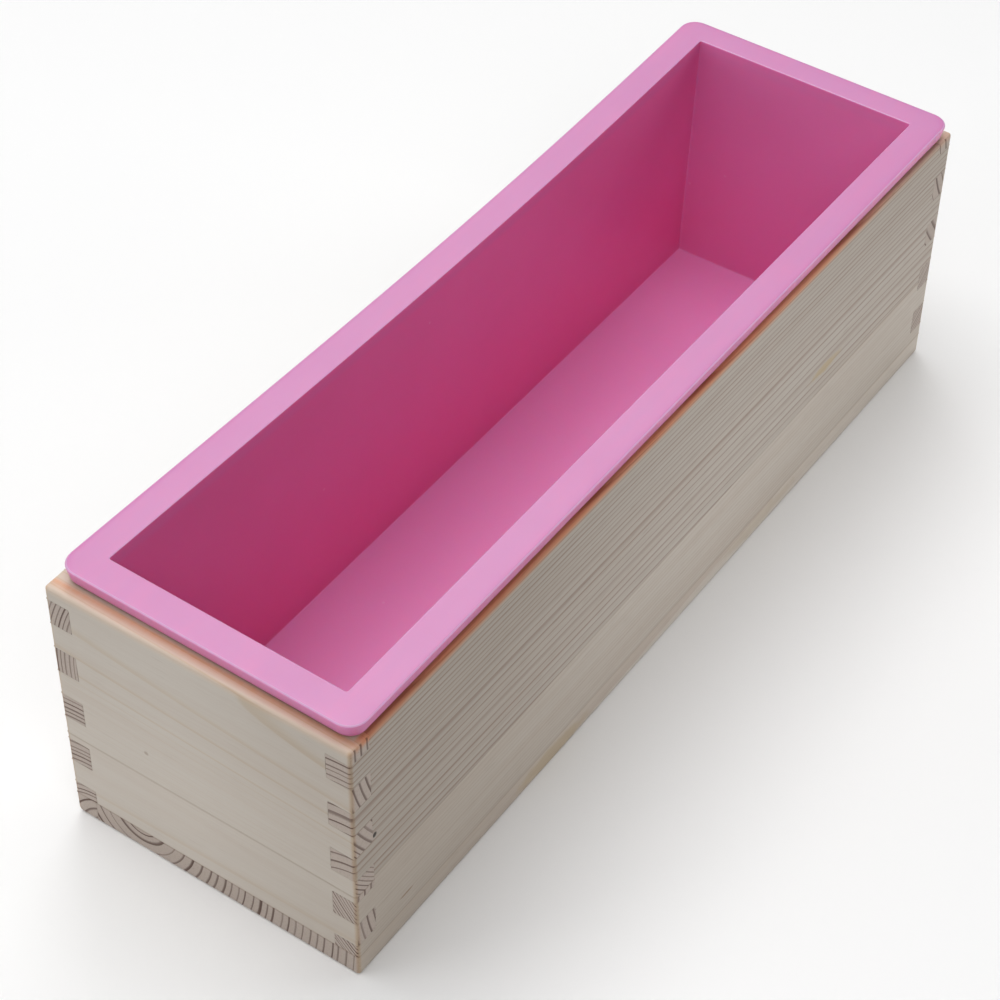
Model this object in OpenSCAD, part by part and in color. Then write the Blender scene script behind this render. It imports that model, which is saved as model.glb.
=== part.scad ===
// Soap loaf mould: a finger-jointed softwood box with a loose, flanged silicone liner.
// X runs along the length, Y across the width and Z up, from the centre of the underside.
// Every board of the box is edge-glued from two strips, and each strip is its own sub-part.

/* [Box] */
// Outer length of the box
box_l = 280; // [230:5:330]
// Outer width of the box
box_w = 88; // [78:1:110]
// Outer height of the box, without the liner's rim
box_h = 80.3; // [70:0.1:95]
// Thickness of every board
board_t = 7; // [6:0.5:9]

/* [Finger joints] */
// Height of a full finger
finger_h = 8.1; // [7:0.1:9]
// Height of the short finger at the top of each end board
top_finger_h = 4.1; // [3:0.1:7]

/* [Glued strips] */
// Height of the glue line in the front board
front_seam_z = 31; // [28:0.5:35]
// Height of the glue line in the back board
back_seam_z = 48; // [44.5:0.5:51]
// Height of the glue line in the left end board
left_seam_z = 29.7; // [28:0.1:35]
// Height of the glue line in the right end board
right_seam_z = 40; // [37:0.5:43]
// Width of the narrow strip along the back edge of the base
base_strip_w = 6.6; // [5:0.1:12]

/* [Silicone liner] */
// Length of the liner's rim
rim_l = 276; // [226:1:330]
// Width of the liner's rim
rim_w = 84.8; // [76:0.1:110]
// Thickness of the rim
rim_t = 4.3; // [3:0.1:6]
// Corner radius of the rim
rim_r = 6.5; // [3:0.5:9]
// Gap between the rim and the top of the box when the liner stands on the base
rim_lift = 1; // [0.5:0.1:2]
// Thickness of the liner's walls
wall_t = 2.2; // [1.5:0.1:3]
// Thickness of the liner's floor
floor_t = 3; // [2:0.1:4]
// Clearance between the liner and each board
liner_gap = 0.35; // [0.3:0.05:0.6]
// Corner radius of the cavity
cavity_r = 1; // [0.5:0.1:3]

/* [Hidden] */

$fn = 48;
// How far a cutting block runs past the faces that it cuts
past = 1;

inner_l = box_l - 2 * board_t;
inner_w = box_w - 2 * board_t;

body_l = inner_l - 2 * liner_gap;
body_w = inner_w - 2 * liner_gap;
cavity_l = body_l - 2 * wall_t;
cavity_w = body_w - 2 * wall_t;
rim_z = box_h + rim_lift;
rim_top = rim_z + rim_t;

// Tops of the long boards' fingers, from the uppermost one down
finger_tops = [for (z = box_h - top_finger_h; z > board_t; z = z - 2 * finger_h) z];

// A block on the floor level z0, centred on X and Y
module slab(l, w, z0, z1) {
    translate([-l / 2, -w / 2, z0]) cube([l, w, z1 - z0]);
}

// The same block with its four upright edges rounded
module round_slab(l, w, r, z0, z1) {
    slab(l - 2 * r, w, z0, z1);
    slab(l, w - 2 * r, z0, z1);
    for (x = [-1, 1], y = [-1, 1])
        translate([x * (l / 2 - r), y * (w / 2 - r), z0]) cylinder(r = r, h = z1 - z0);
}

// Blocks over both ends of a long board, at the levels where the end boards' fingers pass
module end_finger_slots() {
    tops = concat([box_h + past], [for (t = finger_tops) t - finger_h]);
    for (i = [0 : len(tops) - 1]) {
        low = i < len(finger_tops) ? finger_tops[i] : 0;
        if (tops[i] > low)
            for (side = [-1, 1])
                translate([side * (box_l / 2 - board_t / 2 + past / 2), 0, 0])
                    slab(board_t + past, board_t + 2 * past, low, tops[i]);
    }
}

// Blocks over both ends of an end board, at the levels where the long boards' fingers pass
module long_finger_slots() {
    for (t = finger_tops, side = [-1, 1])
        translate([0, side * (box_w / 2 - board_t / 2 + past / 2), 0])
            slab(board_t + 2 * past, board_t + past, t - finger_h, t);
}

// One strip of a long board, between the levels z0 and z1; side is -1 at the front
module long_strip(side, z0, z1) {
    translate([0, side * (box_w - board_t) / 2, 0])
        difference() {
            slab(box_l, board_t, z0, z1);
            end_finger_slots();
        }
}

// One strip of an end board, between the levels z0 and z1; side is -1 at the left
module end_strip(side, z0, z1) {
    translate([side * (box_l - board_t) / 2, 0, 0])
        difference() {
            slab(board_t, box_w, z0, z1);
            long_finger_slots();
        }
}

// Main strip of the base board, under the four walls
module base_panel() {
    color("burlywood")
        translate([0, -base_strip_w / 2, 0])
            slab(box_l, box_w - base_strip_w, 0, board_t);
}

// Narrow strip glued along the back edge of the base board
module base_strip() {
    color("tan")
        translate([0, (box_w - base_strip_w) / 2, 0])
            slab(box_l, base_strip_w, 0, board_t);
}

module front_board_upper() { color("wheat") long_strip(-1, front_seam_z, box_h); }

module front_board_lower() { color("bisque") long_strip(-1, board_t, front_seam_z); }

module back_board_upper() { color("wheat") long_strip(1, back_seam_z, box_h); }

module back_board_lower() { color("bisque") long_strip(1, board_t, back_seam_z); }

module left_end_upper() { color("antiquewhite") end_strip(-1, left_seam_z, box_h); }

module left_end_lower() { color("linen") end_strip(-1, board_t, left_seam_z); }

module right_end_upper() { color("antiquewhite") end_strip(1, right_seam_z, box_h); }

module right_end_lower() { color("linen") end_strip(1, board_t, right_seam_z); }

// Loaf-shaped tray that stands on the base; its rim overhangs the top edges of the box
module silicone_liner() {
    color([0.86, 0.5, 0.72])
        difference() {
            union() {
                round_slab(body_l, body_w, wall_t + cavity_r, board_t, rim_z);
                round_slab(rim_l, rim_w, rim_r, rim_z, rim_top);
            }
            round_slab(cavity_l, cavity_w, cavity_r, board_t + floor_t, rim_top + past);
        }
}

base_panel();
base_strip();
front_board_upper();
front_board_lower();
back_board_upper();
back_board_lower();
left_end_upper();
left_end_lower();
right_end_upper();
right_end_lower();
silicone_liner();
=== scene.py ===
"""Soap loaf mould: a finger-jointed softwood box with a loose silicone liner.

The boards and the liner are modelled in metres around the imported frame. X runs along the loaf,
Y across it and Z up, from the centre of the underside. The grain of each glued strip is a solid
pattern of growth rings about that strip's own pith line, so faces and end grain agree.
"""

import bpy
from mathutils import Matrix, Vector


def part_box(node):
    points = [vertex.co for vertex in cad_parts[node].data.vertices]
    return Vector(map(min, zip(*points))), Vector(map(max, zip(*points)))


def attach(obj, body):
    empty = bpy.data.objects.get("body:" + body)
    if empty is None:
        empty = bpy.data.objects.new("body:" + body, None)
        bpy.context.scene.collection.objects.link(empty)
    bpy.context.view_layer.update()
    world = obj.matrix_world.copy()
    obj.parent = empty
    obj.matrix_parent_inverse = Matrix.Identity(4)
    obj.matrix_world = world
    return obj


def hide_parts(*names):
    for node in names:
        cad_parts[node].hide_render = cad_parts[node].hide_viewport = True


bl_info = {
    "name": "Soap loaf mould",
    "version": (1, 0, 0),
    "blender": (4, 5, 0),
    "location": "3D View > Sidebar > Loaf mould",
    "description": "Builds a finger-jointed soap loaf mould with a silicone liner",
    "category": "Add Mesh",
}

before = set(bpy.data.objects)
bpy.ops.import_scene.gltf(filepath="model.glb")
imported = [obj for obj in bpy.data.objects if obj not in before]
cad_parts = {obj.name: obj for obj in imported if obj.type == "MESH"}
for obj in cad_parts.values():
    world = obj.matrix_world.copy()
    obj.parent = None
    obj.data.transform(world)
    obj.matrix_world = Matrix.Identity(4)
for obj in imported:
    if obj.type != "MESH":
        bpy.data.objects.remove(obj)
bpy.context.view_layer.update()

import math
from collections import namedtuple

import bmesh
import bpy
from mathutils import Matrix, Vector

MM = 0.001
# How close two points or levels are when they count as one, in metres
TOUCH = 1e-5

# The box's own planes, from the frame
BASE_LOW, BASE_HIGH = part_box("base_panel")
LINER_LOW, LINER_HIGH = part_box("silicone_liner")
HALF_L = BASE_HIGH[0]
HALF_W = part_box("base_strip")[1][1]
BOARD_T = BASE_HIGH[2] - BASE_LOW[2]
BOX_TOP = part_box("front_board_upper")[1][2]


# ---------------------------------------------------------------- settings

class MOULD_PG_box(bpy.types.PropertyGroup):
    """Sizes of the wooden box."""

    finger_h: bpy.props.FloatProperty(
        name="Finger height", description="Height of a full finger",
        default=8.1 * MM, unit="LENGTH")
    top_finger_h: bpy.props.FloatProperty(
        name="Top finger height", description="Height of the short finger at the top",
        default=4.1 * MM, unit="LENGTH")
    edge_round: bpy.props.FloatProperty(
        name="Edge rounding", description="Radius of the sanded outer edges",
        default=0.9 * MM, unit="LENGTH")
    foot_round: bpy.props.FloatProperty(
        name="Foot rounding", description="Radius of the back edge on the floor",
        default=2.6 * MM, unit="LENGTH")
    seam_round: bpy.props.FloatProperty(
        name="Seam rounding", description="Radius of the edges where the strips meet",
        default=0.13 * MM, unit="LENGTH")


class MOULD_PG_liner(bpy.types.PropertyGroup):
    """Sizes of the silicone liner."""

    rim_t: bpy.props.FloatProperty(
        name="Rim thickness", description="Thickness of the flat rim",
        default=4.3 * MM, unit="LENGTH")
    rim_corner: bpy.props.FloatProperty(
        name="Rim corner radius", description="Radius of the rim's corners in plan",
        default=4.2 * MM, unit="LENGTH")
    rim_round: bpy.props.FloatProperty(
        name="Rim edge rounding", description="Radius along the rim's upper outer edge",
        default=0.6 * MM, unit="LENGTH")
    rim_lean: bpy.props.FloatProperty(
        name="Rim lean", description="How far the rim's side leans out towards the top",
        default=0.8 * MM, unit="LENGTH")
    cavity_half_l: bpy.props.FloatProperty(
        name="Half cavity length", description="Half the length of the opening",
        default=129.6 * MM, unit="LENGTH")
    cavity_half_w: bpy.props.FloatProperty(
        name="Half cavity width", description="Half the width of the opening",
        default=34.65 * MM, unit="LENGTH")
    floor_t: bpy.props.FloatProperty(
        name="Floor thickness", description="Thickness of the liner's floor",
        default=3.0 * MM, unit="LENGTH")
    bow: bpy.props.FloatProperty(
        name="Back wall bow", description="How far the back wall sags into the cavity",
        default=2.6 * MM, unit="LENGTH")


class MOULD_PG_colours(bpy.types.PropertyGroup):
    """Colours of the wood, the silicone and the stage."""

    silicone: bpy.props.FloatVectorProperty(
        name="Silicone", description="Colour of the liner", subtype="COLOR", size=3,
        default=(0.79, 0.178, 0.438), min=0.0, max=1.0)
    # Dust and a painted sheen: the rim's top paler and bluer, and its sides a little
    dust_and_sheen: bpy.props.FloatVectorProperty(
        name="Bloom", description="Colour of the silicone rim's dusty top", subtype="COLOR",
        size=3, default=(0.62, 0.213, 0.475), min=0.0, max=1.0)
    early_wood: bpy.props.FloatVectorProperty(
        name="Early wood", description="Pale part of a growth ring, on a face",
        subtype="COLOR", size=3, default=(0.62, 0.565, 0.50), min=0.0, max=1.0)
    late_wood: bpy.props.FloatVectorProperty(
        name="Late wood", description="Dark part of a growth ring, on a long board's face",
        subtype="COLOR", size=3, default=(0.38, 0.265, 0.215), min=0.0, max=1.0)
    tan_wood: bpy.props.FloatVectorProperty(
        name="Tan late wood", description="Dark part of a growth ring, on an end board's face",
        subtype="COLOR", size=3, default=(0.56, 0.455, 0.335), min=0.0, max=1.0)
    end_early: bpy.props.FloatVectorProperty(
        name="End grain, early wood", description="Pale part of a ring, on end grain",
        subtype="COLOR", size=3, default=(0.52, 0.44, 0.385), min=0.0, max=1.0)
    end_late: bpy.props.FloatVectorProperty(
        name="End grain, late wood", description="Dark part of a ring, on end grain",
        subtype="COLOR", size=3, default=(0.125, 0.072, 0.056), min=0.0, max=1.0)
    floor: bpy.props.FloatVectorProperty(
        name="Floor", description="Colour of the floor", subtype="COLOR", size=3,
        default=(0.95, 0.95, 0.95), min=0.0, max=1.0)


class MOULD_PG_stage(bpy.types.PropertyGroup):
    """Camera and studio light."""

    lens: bpy.props.FloatProperty(
        name="Lens", description="Focal length of the camera",
        default=92.1, subtype="DISTANCE_CAMERA")
    key_power: bpy.props.FloatProperty(
        name="Key power", description="Power of the large softbox overhead",
        default=15.5, subtype="POWER")
    front_power: bpy.props.FloatProperty(
        name="Front power", description="Power of the softbox above the camera",
        default=5.4, subtype="POWER")
    rim_power: bpy.props.FloatProperty(
        name="Rim power", description="Power of the softbox behind, which glosses the rim",
        default=5.0, subtype="POWER")
    low_power: bpy.props.FloatProperty(
        name="Low power", description="Power of each low lamp at the sides",
        default=1.2, subtype="POWER")
    sky: bpy.props.FloatProperty(
        name="Sky strength", description="Strength of the even white light from all round",
        default=0.05)
    surround: bpy.props.FloatProperty(
        name="Surround brightness", description="How bright the white surround itself looks",
        default=0.95)


# ---------------------------------------------------------------- shader maths

class Value:
    """A socket in a shader that takes part in arithmetic."""

    def __init__(self, shader, socket):
        self.shader = shader
        self.socket = socket

    def math(self, operation, *others):
        return self.shader.node("ShaderNodeMath", {"operation": operation}, (self, *others))

    def __add__(self, other):
        return self.math("ADD", other)

    def __sub__(self, other):
        return self.math("SUBTRACT", other)

    def __rsub__(self, other):
        return self.shader.node("ShaderNodeMath", {"operation": "SUBTRACT"}, (other, self))

    def __mul__(self, other):
        return self.math("MULTIPLY", other)

    def __truediv__(self, other):
        return self.math("DIVIDE", other)

    __radd__ = __add__
    __rmul__ = __mul__


# Sockets of the Mix node for colours, which share their names with its other sockets
MIX_FACTOR = 0
MIX_FIRST = 6
MIX_SECOND = 7
MIX_RESULT = 2


class Shader:
    """The node tree of a material or a world, built by calls that return Value."""

    def __init__(self, owner):
        owner.use_nodes = True
        self.owner = owner
        self.tree = owner.node_tree
        self.tree.nodes.clear()

    def node(self, kind, settings=None, inputs=(), out=0):
        """Adds a node: settings first, then the values or links of its sockets."""
        made = self.tree.nodes.new(kind)
        for key, setting in (settings or {}).items():
            setattr(made, key, setting)
        pairs = inputs.items() if isinstance(inputs, dict) else enumerate(inputs)
        for key, item in pairs:
            if isinstance(item, Value):
                self.tree.links.new(item.socket, made.inputs[key])
            else:
                made.inputs[key].default_value = item
        return Value(self, made.outputs[out]) if made.outputs else None

    def ramp(self, value, start, end, low=0.0, high=1.0):
        """A smooth step of value between start and end."""
        return self.node("ShaderNodeMapRange", {"interpolation_type": "SMOOTHSTEP"},
                         {"Value": value, "From Min": start, "From Max": end,
                          "To Min": low, "To Max": high})

    def mix(self, factor, first, second):
        """A colour between first and second."""
        return self.node("ShaderNodeMix", {"data_type": "RGBA"},
                         {MIX_FACTOR: factor, MIX_FIRST: first, MIX_SECOND: second},
                         out=MIX_RESULT)

    def tint(self, factor, first, second):
        """The colour first multiplied by second, as far as factor says."""
        return self.node("ShaderNodeMix", {"data_type": "RGBA", "blend_type": "MULTIPLY"},
                         {MIX_FACTOR: factor, MIX_FIRST: first, MIX_SECOND: second},
                         out=MIX_RESULT)

    def noise(self, where, scale, detail=2.0, rough=0.5):
        """Noise from 0 to 1 at a place."""
        return self.node("ShaderNodeTexNoise", {"noise_dimensions": "3D"},
                         {"Vector": where, "Scale": scale, "Detail": detail,
                          "Roughness": rough})

    def place(self, scale=(1.0, 1.0, 1.0), offset=(0.0, 0.0, 0.0)):
        """Object coordinates in millimetres, shifted and then stretched."""
        coordinates = self.node("ShaderNodeTexCoord", out="Object")
        stretch = tuple(factor / MM for factor in scale)
        return self.node("ShaderNodeMapping", {"vector_type": "POINT"},
                         {"Vector": coordinates, "Scale": stretch, "Location": offset})

    def axes(self, vector):
        """The three parts of a vector."""
        parts = self.node("ShaderNodeSeparateXYZ", inputs=(vector,))
        return [Value(self, output) for output in parts.socket.node.outputs]

    def facing(self):
        """The three parts of the way the surface faces."""
        return self.axes(self.node("ShaderNodeTexCoord", out="Normal"))

    def finish(self, colour, roughness, height, depth, **constants):
        """The surface itself, with a bump of depth metres, and its fixed sockets."""
        bump = self.node("ShaderNodeBump", inputs={"Height": height, "Distance": depth,
                                                    "Strength": 1.0})
        settings = {"Base Color": colour, "Roughness": roughness, "Normal": bump}
        settings.update({key.replace("_", " "): value for key, value in constants.items()})
        surface = self.node("ShaderNodeBsdfPrincipled", inputs=settings)
        self.node("ShaderNodeOutputMaterial", inputs={"Surface": surface})
        return self.owner


def new_material(name):
    """The shader of a new material."""
    return Shader(bpy.data.materials.new(name))


def rgba(colour, factor=1.0):
    """A colour as a shader socket takes it."""
    return (*(part * factor for part in colour), 1.0)


# ---------------------------------------------------------------- wood

# How one strip was cut from its log, in millimetres. grain is the axis that the fibres follow.
# pith is the centre of the rings on the two other axes, and lean is how far it moves along
# each for every millimetre of grain. wide is the width of a ring out to the radius turn, and
# narrow its width past that. shift moves the rings by a share of one, uneven is how much they
# differ in width, and wander how far they stray. late is the dark share of a ring, bold its
# strength on a face, and tan its shift from russet to tan. The next field is the strength of the
# painted shade that darkens the strip most at its low end, less at its high end, and towards its
# top.
# light is how light the strip is: its own tone, and on the base panel also painted light that
# lifts the shade near the floor.
Log = namedtuple("Log", (
    "grain", "pith", "lean", "wide", "turn", "narrow", "shift", "uneven", "wander",
    "late", "bold", "tan", "dusk", "light"))

LOGS = {
    # The base panel's light holds its own tone and painted light that lifts the shade near the
    # floor
    "base_panel": Log("X", (23.5, 11.5), (0.006, 0.004), 2.9, 22, 2.15, 0.12, 0.30, 0.4,
                      0.34, 0.5, 0.3, 1.0, 1.20),
    "base_strip": Log("X", (33.0, -4.0), (0.004, 0.003), 2.9, 40, 2.9, 0.2, 0.3, 0.3,
                      0.32, 0.5, 0.6, 0.2, 1.0),
    "front_board_upper": Log("X", (-46.0, 17.0), (0.0, -0.0257), 2.75, 43, 1.75, 0.35, 0.45,
                             0.35, 0.36, 0.85, 0.0, 1.0, 1.0),
    "front_board_lower": Log("X", (-94.0, 62.0), (0.002, -0.001), 1.0, 60, 1.0, 0.0, 0.5, 0.5,
                             0.45, 0.33, 0.3, 0.95, 1.10),
    "back_board_upper": Log("X", (-4.0, 56.0), (0.01, 0.012), 1.25, 60, 1.25, 0.0, 0.3, 0.3,
                            0.42, 0.6, 0.0, 0.3, 1.0),
    "back_board_lower": Log("X", (36.0, -6.0), (0.0, 0.01), 1.55, 60, 1.55, 0.3, 0.3, 0.3,
                            0.45, 0.6, 0.0, 0.3, 1.0),
    "left_end_upper": Log("Y", (-84.0, 79.0), (0.026, 0.0), 2.2, 62.5, 1.15, 0.69, 0.12, 0.12,
                          0.40, 0.75, 1.0, 0.35, 1.04),
    "left_end_lower": Log("Y", (-79.65, 27.0), (-0.006, 0.0), 2.4, 70, 2.4, 0.95, 0.05, 0.1,
                          0.38, 0.50, 1.0, 0.45, 1.05),
    "right_end_upper": Log("Y", (202.0, 98.0), (0.0, 0.02), 3.1, 70, 3.1, 0.0, 0.3, 0.3,
                           0.30, 0.55, 1.0, 0.2, 1.0),
    "right_end_lower": Log("Y", (60.0, 120.0), (0.0, 0.02), 1.4, 60, 1.4, 0.0, 0.5, 0.3,
                           0.30, 0.3, 1.0, 0.2, 1.0),
}

# A small mark in a strip: where its middle is, its half sizes, its colour and its strength
Mark = namedtuple("Mark", "node centre size colour strength")

RESIN = (0.55, 0.43, 0.26, 1.0)
KNOT = (0.30, 0.20, 0.13, 1.0)
# Painted shade: a near black patch for the shade inside a small chip
PAINTED_CHIP_SHADE = (0.02, 0.012, 0.01, 1.0)
MARKS = (
    Mark("front_board_upper", (76, -44, 38.6), (10.5, 2, 2.0), RESIN, 0.8),
    Mark("front_board_upper", (-132.3, -44, 45.4), (0.9, 1, 1.0), PAINTED_CHIP_SHADE, 0.95),
    Mark("front_board_lower", (-121, -44, 11.8), (3.2, 2, 0.45), KNOT, 0.8),
    Mark("base_panel", (-58, -44, 3.0), (20, 2, 3.4), RESIN, 0.55),
    Mark("base_panel", (46, -44, 4.0), (24, 2, 3.0), RESIN, 0.25),
    Mark("left_end_upper", (-140, 17.7, 39.2), (2, 0.9, 0.8), KNOT, 0.5),
)


def with_grain(log, along, across):
    """A pattern's stretch: one value along the fibres and another across them."""
    return (along, across, across) if log.grain == "X" else (across, along, across)


def growth_rings(shader, log, seed):
    """Dark part of the growth rings, crisp and soft, and a random value for each ring."""
    x, y, z = shader.axes(shader.place())
    along, across = (x, y) if log.grain == "X" else (y, x)
    slow = shader.place(with_grain(log, 0.006, 0.05), (seed * 7.0, 0.0, 0.0))
    drift = shader.noise(slow, 1.0, 3.0)
    side = across - (along * log.lean[0] + log.pith[0])
    rise = z - (along * log.lean[1] + log.pith[1])
    radius = (side * side + rise * rise).math("SQRT") + (drift - 0.5) * (2.0 * log.wander)
    uneven = shader.node("ShaderNodeTexNoise", {"noise_dimensions": "1D"},
                         {"W": radius * 0.35 + seed * 13.0, "Scale": 1.0, "Detail": 1.0})
    outer = (radius - log.turn).math("MAXIMUM", 0.0)
    count = (radius / log.wide + outer * (1.0 / log.narrow - 1.0 / log.wide)
             + (uneven - 0.5) * (2.0 * log.uneven) + log.shift)
    phase = count.math("FRACT")
    ring = shader.node("ShaderNodeTexWhiteNoise", {"noise_dimensions": "1D"},
                       {"W": count.math("FLOOR") + seed})
    # Each ring darkens towards its outer side and turns pale at once where the next one starts
    spring = shader.ramp(phase, 0.96, 1.0, 1.0, 0.0)
    crisp = shader.ramp(phase, 1.0 - log.late, 1.0 - 0.45 * log.late) * spring
    rise_start = 1.0 - log.late * (1.7 - 1.1 * log.tan)
    soft = shader.ramp(phase, rise_start, 0.95) * spring
    soft = soft * (0.4 + 0.6 * log.tan) + crisp * (0.6 - 0.6 * log.tan)
    # Past the turn, the narrow rings of a tan strip are fainter
    soft = soft * shader.ramp(radius, log.turn, log.turn + 1.5, 1.0, 1.0 - 0.6 * log.tan)
    return crisp, soft, ring


def marked(shader, node, colour):
    """The colour with the strip's marks on it."""
    frayed = shader.noise(shader.place(), 0.35, 3.0, 0.65) - 0.5
    for mark in MARKS:
        if mark.node != node:
            continue
        parts = shader.axes(shader.place())
        # Squared distances from the mark's middle, in its own half sizes
        squares = [((part - middle) * (1.0 / half)).math("POWER", 2.0)
                   for part, middle, half in zip(parts, mark.centre, mark.size)]
        reach = squares[0] + squares[1] + squares[2] + frayed * 1.4
        inside = shader.ramp(reach, 0.15, 1.0, mark.strength, 0.0)
        colour = shader.mix(inside, colour, mark.colour)
    return colour


# What the wood's colour is multiplied by: painted red light beside the silicone, painted red
# light and shade under the rim's front edge, painted light on the top edges, glue lines, worn
# corners, broad bands, fibres, pores, painted shade where a board darkens, and the speckles of
# end grain
PAINTED_RED_LIGHT = (1.07, 0.69, 0.50, 1.0)
PAINTED_RED_SHADE = (1.08, 0.84, 0.74, 1.0)
PAINTED_TOP_LIGHT = (1.10, 1.03, 0.97, 1.0)
SEAM = (0.74, 0.66, 0.60, 1.0)
HANDLED = (0.96, 0.84, 0.70, 1.0)
BANDED = (0.94, 0.89, 0.86, 1.0)
FIBROUS = (0.92, 0.90, 0.89, 1.0)
POROUS = (0.86, 0.83, 0.81, 1.0)
PAINTED_SHADE_TINT = (0.755, 0.735, 0.71, 1.0)
SPECKLED = (0.80, 0.77, 0.74, 1.0)

# Where the painted light and painted red light along the top edges start and are full, below the
# box's top, in millimetres
TOP_EDGE_START = 2.6
TOP_EDGE_FULL = 0.3
# Width of the worn band at the upright corners, in millimetres
WORN_START = 1.3
WORN_FULL = 0.3
WOOD_BUMP = 0.06 * MM


def under_rim(shader, parts, colour):
    """The wood's colour with painted light on its top edges, and painted red light and shade
    where the silicone rests above the front and left edges.
    """
    past_end = parts[0] * -1.0 - (LINER_HIGH[0] / MM - 3.0)
    past_side = parts[1] * -1.0 - (LINER_HIGH[1] / MM - 0.4)
    high = shader.ramp(parts[2], BOX_TOP / MM - TOP_EDGE_START, BOX_TOP / MM - TOP_EDGE_FULL)
    patches = shader.noise(shader.place((0.05, 0.5, 0.5)), 1.0, 3.0, 0.6) * 0.8 + 0.5
    left = shader.ramp(past_end, 0.8, 2.2) * shader.ramp(past_end, 1.5, 4.5, 1.0, 0.1)
    front = shader.ramp(past_side, -0.4, 0.9) * shader.ramp(past_end, 0.0, 4.0, 1.0, 0.1)
    front = front * shader.ramp(parts[0], 60.0, 128.0, 1.0, 0.25)
    # Painted light: the wood lighter along the top edges, where light from above falls
    colour = shader.tint(high, colour, PAINTED_TOP_LIGHT)
    # Painted red light: the glow of light through the silicone on the wood beside the rim
    colour = shader.tint(left.math("MAXIMUM", front) * high * patches, colour, PAINTED_RED_LIGHT)
    # Painted red light and shade in the gap under the rim's front edge
    return shader.tint(front * high * shader.ramp(past_end, -1.0, 2.0, 1.0, 0.0), colour, PAINTED_RED_SHADE)


def glued_seams(shader, node, parts, colour):
    """The wood's colour with a thin glue line where the strip meets its neighbours."""
    low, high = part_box(node)
    for level in (low[2], high[2]):
        if TOUCH < level < BOX_TOP - TOUCH:
            gap = (parts[2] - level / MM).math("ABSOLUTE")
            colour = shader.tint(shader.ramp(gap, 0.1, 0.6, 0.45, 0.0), colour, SEAM)
    return colour


def board_wood(node, colours):
    """Planed softwood for one strip."""
    log = LOGS[node]
    seed = 1.0 + list(LOGS).index(node)
    grain_axis, half_length = (0, HALF_L / MM) if log.grain == "X" else (1, HALF_W / MM)
    shader = new_material(node.replace("_", " ") + " softwood")
    parts = shader.axes(shader.place())
    crisp, soft, ring = growth_rings(shader, log, seed)
    end = shader.ramp(shader.facing()[grain_axis].math("ABSOLUTE"), 0.55, 0.85)

    long_way = shader.place(with_grain(log, 0.02, 1.0), (0.0, seed * 3.0, 0.0))
    middle_way = shader.place(with_grain(log, 0.01, 0.22), (seed * 5.0, 0.0, 0.0))
    short_way = shader.place(with_grain(log, 0.09, 2.2), (0.0, 0.0, seed))
    fibres = shader.noise(long_way, 1.5, 4.0, 0.6)
    bands = shader.noise(middle_way, 1.0, 3.0, 0.55)
    pores = shader.noise(short_way, 1.6, 1.0)
    speckle = shader.noise(shader.place(), 1.9, 3.0, 0.7)
    streaky = 1.0 - 0.65 * log.tan

    # The planed faces
    late_wood = [russet + (tan - russet) * log.tan
                 for russet, tan in zip(colours.late_wood, colours.tan_wood)]
    face = shader.mix(soft * (ring * 0.4 + 0.6) * log.bold, rgba(colours.early_wood, log.light),
                      rgba(late_wood, log.light))
    face = shader.tint(shader.ramp(bands, 0.35, 0.75) * 0.5, face, BANDED)
    face = shader.tint(shader.ramp(fibres, 0.40, 0.75) * streaky, face, FIBROUS)
    face = shader.tint(shader.ramp(pores, 0.58, 0.78) * streaky, face, POROUS)
    share = parts[grain_axis] * (0.5 / half_length)
    # Painted shade: darker most towards the strip's low end, less towards its high end, and
    # towards its top
    dusk = (shader.ramp(share, -0.5, 0.1, 1.0, 0.0) + shader.ramp(share, 0.05, 0.5, 0.0, 0.45)
            + shader.ramp(parts[2], 35.0, 80.0, 0.0, 0.35))
    face = shader.tint(dusk * log.dusk, face, PAINTED_SHADE_TINT)
    face = marked(shader, node, face)

    # The sawn end grain
    cut = shader.mix(crisp * (ring * 0.5 + 0.5), rgba(colours.end_early),
                     rgba(colours.end_late))
    cut = shader.tint(shader.ramp(speckle, 0.45, 0.8), cut, SPECKLED)

    colour = glued_seams(shader, node, parts, shader.mix(end, face, cut))
    worn = [shader.ramp(part.math("ABSOLUTE"), half / MM - WORN_START, half / MM - WORN_FULL)
            for part, half in zip(parts, (HALF_L, HALF_W))]
    colour = shader.tint(worn[0] * worn[1], under_rim(shader, parts, colour), HANDLED)

    roughness = fibres * 0.12 + end * 0.12 + 0.52
    height = fibres * (0.5 * streaky) + crisp * 0.25 + speckle * end * 0.8
    return shader.finish(colour, roughness, height, WOOD_BUMP, Specular_IOR_Level=0.35)


# ---------------------------------------------------------------- silicone and stage

# What the silicone's colour is multiplied by: painted shade low on the cavity's walls, painted
# shade towards its left end, and the clouds of the moulding
PAINTED_LOW_SHADE = (1.0, 0.80, 0.86, 1.0)
PAINTED_LEFT_SHADE = (0.91, 0.83, 0.87, 1.0)
CLOUDED = (0.95, 0.92, 0.94, 1.0)
# Colours mixed into it: painted light on the cavity's floor and on its end wall that faces -X, a
# painted highlight on the rim's edges, and specks of dust
PAINTED_LIGHT_TINT = (0.90, 0.36, 0.72, 1.0)
PAINTED_EDGE_HIGHLIGHT = (0.72, 0.48, 0.70, 1.0)
SPECK = (0.85, 0.55, 0.72, 1.0)
SILICONE_BUMP = 0.03 * MM
# How far light travels inside the silicone: its reach, and each colour's share of it
SCATTER_REACH = 5.0 * MM
SCATTER_SHARES = (1.0, 0.20, 0.35)


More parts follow.
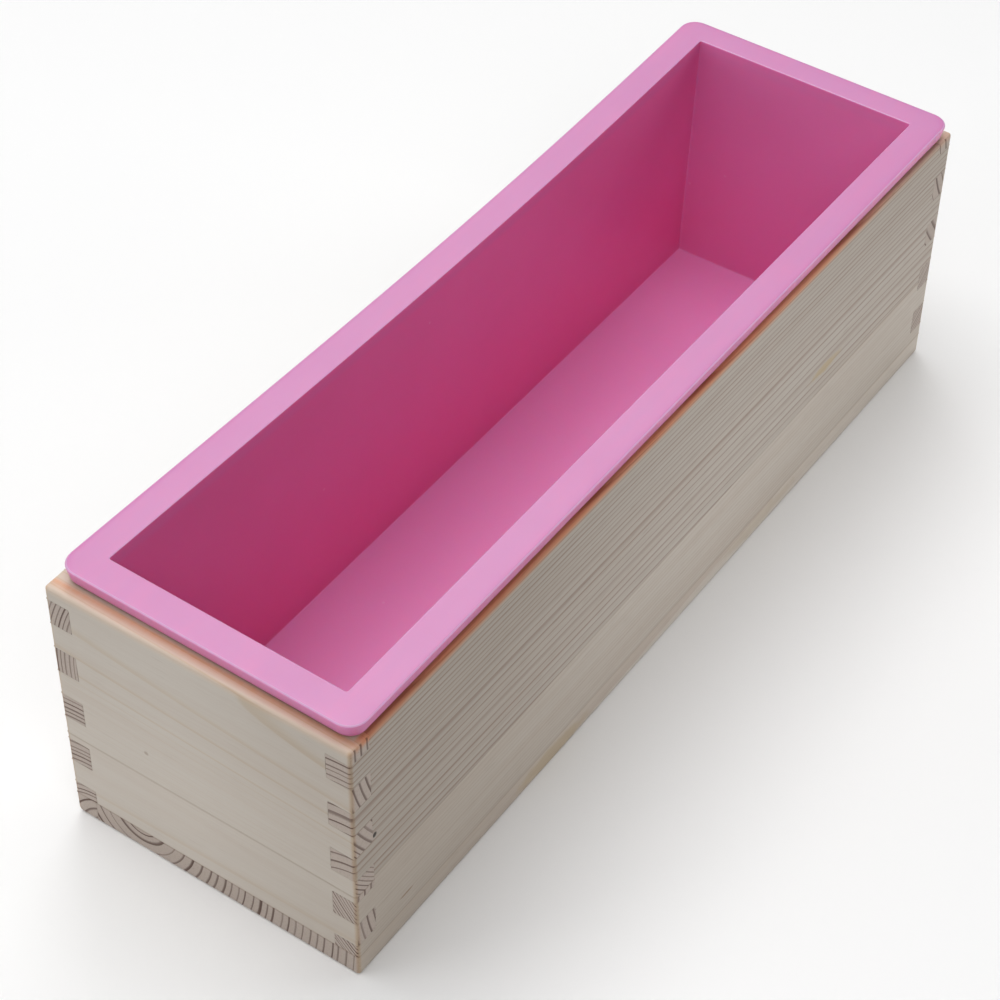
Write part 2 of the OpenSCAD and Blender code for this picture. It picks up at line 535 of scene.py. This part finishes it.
def moulded_silicone(colours):
    """Satin pink silicone with dust and a painted sheen on its rim, painted light, shade and
    highlight, and specks.
    """
    shader = new_material("moulded pink silicone")
    lengthwise, _, height_up = shader.axes(shader.place())
    facing = shader.facing()
    cloud = shader.noise(shader.place(), 0.035, 3.0, 0.6)
    grain = shader.noise(shader.place(), 1.3, 3.0, 0.6)
    wisps = shader.noise(shader.place((0.03, 0.12, 0.12)), 1.0, 3.0, 0.6)
    dust = shader.node("ShaderNodeTexVoronoi", {"voronoi_dimensions": "3D"},
                       {"Vector": shader.place(), "Scale": 0.07, "Randomness": 1.0})
    specks = shader.ramp(dust, 0.025, 0.04, 1.0, 0.0)
    flat = shader.ramp(facing[2], 0.2, 0.9)
    on_rim = shader.ramp(height_up, 80.5, 83.0)
    # Painted highlight: the rounded edges of the rim and the mouth made paler
    edge = shader.ramp(facing[2], 0.35, 0.6) * shader.ramp(facing[2], 0.93, 0.99, 1.0, 0.0)
    # Painted light: paler on the cavity's floor and on the end wall that faces -X
    painted_light = (flat * shader.ramp(height_up, 30.0, 60.0, 0.62, 0.0)
            + shader.ramp(facing[0], -0.9, -0.5, 0.36, 0.0))
    # Painted shade: the cavity's walls deeper red towards its floor
    painted_low_shade = (1.0 - flat) * shader.ramp(height_up, 15.0, 60.0, 1.0, 0.0)
    colour = shader.tint(painted_low_shade, rgba(colours.silicone), PAINTED_LOW_SHADE)
    # Painted shade: the walls darker towards the cavity's left end
    shade = (1.0 - flat) * shader.ramp(lengthwise, -125.0, 40.0, 1.0, 0.0)
    colour = shader.tint(shade, colour, PAINTED_LEFT_SHADE)
    # Dust and painted sheen on the rim: mottled on its top, even on its sides
    dust_and_sheen = flat * (wisps * 0.9 + 0.55) + (1.0 - flat) * 0.45
    colour = shader.mix(dust_and_sheen * on_rim, colour, rgba(colours.dust_and_sheen))
    colour = shader.mix(painted_light * (cloud * 0.4 + 0.8), colour, PAINTED_LIGHT_TINT)
    colour = shader.mix(edge * on_rim * 0.65, colour, PAINTED_EDGE_HIGHLIGHT)
    colour = shader.tint(cloud, colour, CLOUDED)
    colour = shader.mix(specks * 0.3, colour, SPECK)
    roughness = cloud * 0.10 + grain * 0.06 + wisps * 0.08 + 0.32
    height = grain * 0.3 + cloud * 0.7
    return shader.finish(colour, roughness, height, SILICONE_BUMP, Subsurface_Weight=0.4,
                         Subsurface_Scale=SCATTER_REACH, Subsurface_Radius=SCATTER_SHARES,
                         Specular_IOR_Level=1.0)


PAPER_BUMP = 0.02 * MM


def pale_paper(colours):
    """Matt paper for the floor."""
    shader = new_material("pale studio paper")
    cloud = shader.noise(shader.place(), 0.004, 2.0)
    tooth = shader.noise(shader.place(), 0.9, 2.0)
    colour = shader.mix(cloud * 0.5, rgba(colours.floor), rgba(colours.floor, 0.985))
    return shader.finish(colour, tooth * 0.05 + 0.85, tooth, PAPER_BUMP)


# ---------------------------------------------------------------- building

# Edges sharper than this stay crisp in the shading
CRISP_ANGLE = math.radians(40)


def show(name, bm, material):
    """Makes a shown object of a bmesh, with its place in its mesh."""
    mesh = bpy.data.meshes.new(name)
    bm.to_mesh(mesh)
    bm.free()
    mesh.materials.append(material)
    mesh.shade_smooth()
    mesh.set_sharp_from_angle(angle=CRISP_ANGLE)
    piece = bpy.data.objects.new(name, mesh)
    bpy.context.scene.collection.objects.link(piece)
    return piece


def stand_for(piece, node, body):
    """The piece moves with the body and stands for the frame's node."""
    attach(piece, body)
    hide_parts(node)


def block(low, high):
    """A bmesh box between two corners."""
    bm = bmesh.new()
    size = Vector(high) - Vector(low)
    centre = (Vector(high) + Vector(low)) / 2
    bmesh.ops.create_cube(bm, size=1.0, matrix=Matrix.Translation(centre)
                          @ Matrix.Diagonal((*size, 1.0)))
    return bm


def lies_on(edge, axis, level):
    """Whether an edge lies in a plane."""
    return all(abs(vert.co[axis] - level) < TOUCH for vert in edge.verts)


# How much of the outer edges' rounding the inner edges of the box's top get
INNER_TOP_SHARE = 0.5
ROUNDING_SEGMENTS = 4


def ease_edges(bm, box_settings):
    """Marks the strip's edges for rounding, in shares of the foot rounding."""
    weights = bm.edges.layers.float.new("bevel_weight_edge")
    share = box_settings.edge_round / box_settings.foot_round
    seam_share = box_settings.seam_round / box_settings.foot_round
    for edge in bm.edges:
        ends = any(lies_on(edge, 0, side * HALF_L) for side in (-1, 1))
        sides = any(lies_on(edge, 1, side * HALF_W) for side in (-1, 1))
        top = lies_on(edge, 2, BOX_TOP)
        foot = lies_on(edge, 2, 0.0)
        if foot and lies_on(edge, 1, HALF_W):
            edge[weights] = 1.0
        elif ends + sides + top + foot > 1:
            edge[weights] = share
        elif top and edge.calc_length() > 2 * BOARD_T:
            edge[weights] = share * INNER_TOP_SHARE
        else:
            edge[weights] = seam_share


def round_eased(piece, box_settings):
    """Rounds the marked edges."""
    rounding = piece.modifiers.new("Sanded edges", "BEVEL")
    rounding.limit_method = "WEIGHT"
    rounding.width = box_settings.foot_round
    rounding.segments = ROUNDING_SEGMENTS
    rounding.harden_normals = True


def finger_levels(box_settings):
    """Low and high levels of the long boards' fingers, from the uppermost one down."""
    levels = []
    top = BOX_TOP - box_settings.top_finger_h
    while top > BOARD_T:
        levels.append((max(top - box_settings.finger_h, BOARD_T), top))
        top -= 2 * box_settings.finger_h
    return levels


def finger_board(node, axis, long_fingers, box_settings):
    """A strip with fingers at both ends of an axis."""
    low, high = (Vector(corner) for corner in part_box(node))
    core_low, core_high = low.copy(), high.copy()
    core_low[axis] += BOARD_T
    core_high[axis] -= BOARD_T
    bm = block(core_low, core_high)
    levels = finger_levels(box_settings)
    for level in {level for pair in levels for level in pair}:
        if low.z + TOUCH < level < high.z - TOUCH:
            geometry = [*bm.verts, *bm.edges, *bm.faces]
            bmesh.ops.bisect_plane(bm, geom=geometry, plane_co=(0, 0, level),
                                   plane_no=(0, 0, 1))
    bm.normal_update()
    for face in [face for face in bm.faces if abs(face.normal[axis]) > 0.9]:
        centre = face.calc_center_median()
        in_long = any(bottom < centre.z < top for bottom, top in levels)
        if in_long == long_fingers:
            push = Vector(face.normal) * BOARD_T
            raised = bmesh.ops.extrude_discrete_faces(bm, faces=[face])["faces"]
            bmesh.ops.translate(bm, verts=raised[0].verts, vec=push)
    bmesh.ops.remove_doubles(bm, verts=bm.verts, dist=0.1 * TOUCH)
    return bm


def wooden_piece(node, bm):
    """Eases a strip's edges and puts its own wood on it."""
    settings = bpy.context.scene.mould_box
    ease_edges(bm, settings)
    piece = show(node + "_wood", bm, board_wood(node, bpy.context.scene.mould_colours))
    round_eased(piece, settings)
    stand_for(piece, node, "box")


# ---------------------------------------------------------------- liner

# One loop around the liner: half sizes, corner radius, height and how far it gives
Loop = namedtuple("Loop", "half_l half_w radius z give")
CORNER_STEPS = 7
LONG_CUTS = 47
SHORT_CUTS = 11
# Anything longer than this in a fresh loop is a side and not a part of a corner, in metres
SIDE_LENGTH = 0.02


def rounded_loop(bm, loop):
    """The edges of a rounded rectangle with evenly cut sides."""
    known = set(bm.edges)
    stretch = Matrix.Translation((0, 0, loop.z)) @ Matrix.Diagonal(
        (loop.half_l, loop.half_w, 1.0, 1.0))
    corners = bmesh.ops.create_grid(bm, x_segments=1, y_segments=1, size=1.0,
                                    matrix=stretch)["verts"]
    rounded = bmesh.ops.bevel(bm, geom=corners, offset=loop.radius, affect="VERTICES",
                              offset_type="OFFSET", segments=CORNER_STEPS, profile=0.5,
                              material=-1)
    bmesh.ops.delete(bm, geom=rounded["verts"][0].link_faces[:], context="FACES_ONLY")
    sides = [edge for edge in bm.edges
             if edge not in known and edge.calc_length() > SIDE_LENGTH]
    for across, cuts in ((1, LONG_CUTS), (0, SHORT_CUTS)):
        level = [edge for edge in sides
                 if abs(edge.verts[0].co[across] - edge.verts[1].co[across]) < TOUCH]
        bmesh.ops.subdivide_edges(bm, edges=level, cuts=cuts)
    return [edge for edge in bm.edges if edge not in known]


def arc(steps, start, end):
    """Angles along a rounding, in radians."""
    return [math.radians(start + (end - start) * i / steps) for i in range(steps + 1)]


# The liner's smaller sizes. The body is the part below the rim.
BODY_GAP = 0.4 * MM
BODY_CORNER = 3.2 * MM
FOOT_ROUND = 1.6 * MM
RIM_ROOT = 0.8 * MM
RIM_LOW_ROUND = 0.4 * MM
RIM_CROWN = 0.15 * MM
CROWN_INSET = 0.8 * MM
MOUTH_DROP = 0.1 * MM
MOUTH_ROUND = 0.3 * MM
CAVITY_CORNER = 0.55 * MM
CAVITY_FILLET = 0.7 * MM
LONG_DRAFT = 0.6 * MM
SIDE_DRAFT = 0.1 * MM
WALL_ROWS = 8
# How far the straight rim stops short of the frame's length and passes its width, because the
# rim shifts when the liner gives
RIM_SHORT = 0.6 * MM
RIM_PAST = 0.1 * MM


def liner_loops(settings):
    """Loops from the body's foot, out round the rim, and down to the cavity's floor."""
    foot, top = LINER_LOW[2], LINER_HIGH[2]
    rim_foot = top - settings.rim_t
    rim_l, rim_w = LINER_HIGH[0] - RIM_SHORT, LINER_HIGH[1] + RIM_PAST
    body_l, body_w = (half - BOARD_T - BODY_GAP for half in (HALF_L, HALF_W))
    floor = foot + settings.floor_t
    loops = []
    # The foot's rounding, and the root where the body meets the rim
    for turn in arc(3, -90, 0):
        inset = FOOT_ROUND * (1 - math.cos(turn))
        loops.append(Loop(body_l - inset, body_w - inset, BODY_CORNER,
                          foot + FOOT_ROUND * (1 + math.sin(turn)), 0.0))
    for turn in arc(4, 0, 80):
        flare = RIM_ROOT * (1 - math.cos(turn))
        loops.append(Loop(body_l + flare, body_w + flare, BODY_CORNER + flare,
                          rim_foot - RIM_ROOT * (1 - math.sin(turn)), 0.0))
    # The rim's lower edge, its leaning side and upper edge, and the crown of its top
    for turn in arc(3, -90, -10):
        inset = RIM_LOW_ROUND * (1 - math.cos(turn))
        loops.append(Loop(rim_l - inset, rim_w - inset, settings.rim_corner,
                          rim_foot + RIM_LOW_ROUND * (1 + math.sin(turn)), 1.0))
    lean = settings.rim_lean
    for turn in arc(5, 10, 80):
        inset = settings.rim_round * (1 - math.cos(turn))
        loops.append(Loop(rim_l + lean - inset, rim_w + lean - inset,
                          settings.rim_corner + lean - inset * 0.5,
                          top - RIM_CROWN - settings.rim_round * (1 - math.sin(turn)), 1.0))
    loops.append(Loop(rim_l - CROWN_INSET, rim_w - CROWN_INSET, settings.rim_corner, top, 1.0))
    # The mouth's edge, the cavity's walls and the fillet round its floor
    cavity_l, cavity_w = settings.cavity_half_l, settings.cavity_half_w
    mouth = top - MOUTH_DROP
    for turn in arc(3, 90, 0):
        inset = MOUTH_ROUND * (1 - math.cos(turn))
        loops.append(Loop(cavity_l + inset, cavity_w + inset, CAVITY_CORNER + inset,
                          mouth - MOUTH_ROUND * (1 - math.sin(turn)), 1.0))
    wall_top = mouth - MOUTH_ROUND
    for row in range(1, WALL_ROWS + 1):
        share = row / WALL_ROWS
        loops.append(Loop(cavity_l - LONG_DRAFT * share, cavity_w - SIDE_DRAFT * share,
                          CAVITY_CORNER,
                          wall_top - (wall_top - floor - CAVITY_FILLET) * share, 1.0))
    for turn in arc(4, 0, -90)[1:]:
        inset = CAVITY_FILLET * (1 - math.cos(turn)) * 0.7
        loops.append(Loop(cavity_l - LONG_DRAFT - inset, cavity_w - SIDE_DRAFT - inset,
                          CAVITY_CORNER, floor + CAVITY_FILLET * (1 + math.sin(turn)), 1.0))
    return loops


# How the loose liner sits in the box: its shift along X and Y at the top, and how much further
# along X it has gone for every metre of Y
SHIFT_X = 0.8 * MM
SHIFT_Y = -0.7 * MM
SKEW = 0.017
# The back wall sags most a little right of its middle. The sag starts at one level of Y and is
# full a short way behind it.
SAG_SKEW = 1.2
SAG_START = -20 * MM
SAG_DEPTH = 50 * MM


def clamped(share):
    """A share held between 0 and 1."""
    return max(0.0, min(1.0, share))


def give_way(vert, floor, top, bow):
    """Moves a point of the soft upper part as the loose liner sits a little askew."""
    x, y = vert.co.x, vert.co.y
    height = clamped((vert.co.z - floor) / (top - floor))
    along = clamped((x + HALF_L) / (2 * HALF_L))
    back = clamped((y - SAG_START) / SAG_DEPTH)
    sag = bow * math.sin(math.pi * along ** SAG_SKEW)
    vert.co.x += height * (SHIFT_X + SKEW * y)
    vert.co.y += height * (SHIFT_Y - sag * back)


# ---------------------------------------------------------------- operators

class MOULD_OT_base(bpy.types.Operator):
    """Add the base board's two strips"""

    bl_idname = "mould.base"
    bl_label = "Base board"

    def execute(self, context):
        for node in ("base_panel", "base_strip"):
            wooden_piece(node, block(*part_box(node)))
        return {"FINISHED"}


class MOULD_OT_long_boards(bpy.types.Operator):
    """Add the strips of the front and back boards"""

    bl_idname = "mould.long_boards"
    bl_label = "Front and back boards"

    def execute(self, context):
        settings = context.scene.mould_box
        for side in ("front", "back"):
            for part in ("upper", "lower"):
                node = f"{side}_board_{part}"
                wooden_piece(node, finger_board(node, 0, True, settings))
        return {"FINISHED"}


class MOULD_OT_end_boards(bpy.types.Operator):
    """Add the strips of the two end boards"""

    bl_idname = "mould.end_boards"
    bl_label = "End boards"

    def execute(self, context):
        settings = context.scene.mould_box
        for side in ("left", "right"):
            for part in ("upper", "lower"):
                node = f"{side}_end_{part}"
                wooden_piece(node, finger_board(node, 1, False, settings))
        return {"FINISHED"}


class MOULD_OT_liner(bpy.types.Operator):
    """Add the silicone liner"""

    bl_idname = "mould.liner"
    bl_label = "Silicone liner"

    def execute(self, context):
        settings = context.scene.mould_liner
        bm = bmesh.new()
        give = bm.verts.layers.float.new("give")
        rings = []
        for loop in liner_loops(settings):
            edges = rounded_loop(bm, loop)
            for edge in edges:
                for vert in edge.verts:
                    vert[give] = loop.give
            if rings:
                bmesh.ops.bridge_loops(bm, edges=rings[-1] + edges)
            rings.append(edges)
        for ring in (rings[0], rings[-1]):
            bmesh.ops.contextual_create(bm, geom=ring)
        bmesh.ops.recalc_face_normals(bm, faces=bm.faces)
        floor = LINER_LOW[2] + settings.floor_t
        for vert in bm.verts:
            if vert[give]:
                give_way(vert, floor, LINER_HIGH[2], settings.bow)
        bm.verts.layers.float.remove(give)
        liner = show("silicone_liner_tray", bm, moulded_silicone(context.scene.mould_colours))
        even = liner.modifiers.new("Even shading", "WEIGHTED_NORMAL")
        even.keep_sharp = True
        stand_for(liner, "silicone_liner", "liner")
        return {"FINISHED"}


# Each lamp of the studio: where it stands, its width, the setting that powers it, and how much
# of that power it takes
Lamp = namedtuple("Lamp", "name place width power share")
LAMPS = (
    Lamp("overhead softbox", (0.10, 0.35, 1.50), 1.3, "key_power", 1.0),
    Lamp("back left softbox", (-0.55, 0.45, 1.50), 1.3, "key_power", 0.22),
    Lamp("front softbox", (-0.70, -0.70, 1.20), 0.9, "front_power", 1.0),
    Lamp("rim softbox", (1.00, 0.68, 1.20), 0.9, "rim_power", 1.0),
    Lamp("left lamp", (-0.65, 0.50, 0.30), 0.4, "low_power", 1.0),
    Lamp("right lamp", (0.50, -0.60, 0.22), 0.4, "low_power", 1.0),
)
FLOOR_RADIUS = 0.6
FLOOR_SIDES = 96
# The floor lies this far under the mould, so that it doesn't share a plane with the underside
FLOOR_DROP = 0.05 * MM
CAMERA_PLACE = (-0.4199, -0.2707, 0.5020)
CAMERA_TARGET = (-0.02125, -0.00175, 0.04)
CAMERA_ROLL = math.radians(0.9635)


def softbox(lamp, power):
    """A square area light that faces the mould."""
    area = bpy.data.lights.new(lamp.name, "AREA")
    area.size = lamp.width
    area.energy = power * lamp.share
    light = bpy.data.objects.new(lamp.name, area)
    light.location = lamp.place
    aim = Vector((0.0, 0.0, BOX_TOP / 2)) - Vector(lamp.place)
    light.rotation_euler = aim.to_track_quat("-Z", "Y").to_euler()
    bpy.context.scene.collection.objects.link(light)


def white_surround(settings):
    """A white world that looks bright but lights the mould only faintly."""
    world = bpy.data.worlds.new("studio")
    shader = Shader(world)
    seen = shader.node("ShaderNodeLightPath", out="Is Camera Ray")
    strength = shader.node("ShaderNodeMapRange", inputs={
        "Value": seen, "To Min": settings.sky, "To Max": settings.surround})
    glow = shader.node("ShaderNodeBackground", inputs={
        "Color": rgba((1.0, 1.0, 1.0)), "Strength": strength})
    shader.node("ShaderNodeOutputWorld", inputs={"Surface": glow})
    return world


def aimed_camera(settings):
    """The camera, looking at the mould from above its front left corner."""
    camera = bpy.data.objects.new("camera", bpy.data.cameras.new("camera"))
    camera.data.lens = settings.lens
    camera.location = CAMERA_PLACE
    aim = Vector(CAMERA_TARGET) - Vector(CAMERA_PLACE)
    look = aim.to_track_quat("-Z", "Y").to_matrix()
    camera.rotation_euler = (look @ Matrix.Rotation(CAMERA_ROLL, 3, "Z")).to_euler()
    return camera


class MOULD_OT_stage(bpy.types.Operator):
    """Add the floor, the studio light and the camera"""

    bl_idname = "mould.stage"
    bl_label = "Stage"

    def execute(self, context):
        scene = context.scene
        settings = scene.mould_stage
        bm = bmesh.new()
        bmesh.ops.create_circle(bm, cap_ends=True, segments=FLOOR_SIDES, radius=FLOOR_RADIUS,
                                matrix=Matrix.Translation((0, 0, -FLOOR_DROP)))
        show("floor", bm, pale_paper(scene.mould_colours))

        for lamp in LAMPS:
            softbox(lamp, getattr(settings, lamp.power))
        scene.world = white_surround(settings)
        scene.view_settings.view_transform = "Standard"

        scene.camera = aimed_camera(settings)
        scene.collection.objects.link(scene.camera)
        return {"FINISHED"}


class MOULD_PT_panel(bpy.types.Panel):
    """Lists the mould's pieces and sizes"""

    bl_idname = "MOULD_PT_panel"
    bl_label = "Loaf mould"
    bl_space_type = "VIEW_3D"
    bl_region_type = "UI"
    bl_category = "Loaf mould"

    def draw(self, context):
        column = self.layout.column()
        for operator in OPERATORS:
            column.operator(operator.bl_idname)
        for group, _ in GROUPS:
            settings = getattr(context.scene, group)
            for key in settings.__annotations__:
                column.prop(settings, key)


OPERATORS = (MOULD_OT_base, MOULD_OT_long_boards, MOULD_OT_end_boards, MOULD_OT_liner,
             MOULD_OT_stage)
GROUPS = (("mould_box", MOULD_PG_box), ("mould_liner", MOULD_PG_liner),
          ("mould_colours", MOULD_PG_colours), ("mould_stage", MOULD_PG_stage))


def register():
    for name, group in GROUPS:
        bpy.utils.register_class(group)
        setattr(bpy.types.Scene, name, bpy.props.PointerProperty(type=group))
    for operator in OPERATORS:
        bpy.utils.register_class(operator)
    bpy.utils.register_class(MOULD_PT_panel)


def unregister():
    bpy.utils.unregister_class(MOULD_PT_panel)
    for operator in reversed(OPERATORS):
        bpy.utils.unregister_class(operator)
    for name, group in reversed(GROUPS):
        delattr(bpy.types.Scene, name)
        bpy.utils.unregister_class(group)


def main():
    """Builds every piece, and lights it."""
    register()
    bpy.ops.mould.base()
    bpy.ops.mould.long_boards()
    bpy.ops.mould.end_boards()
    bpy.ops.mould.liner()
    bpy.ops.mould.stage()


if __name__ == "__main__":
    main()
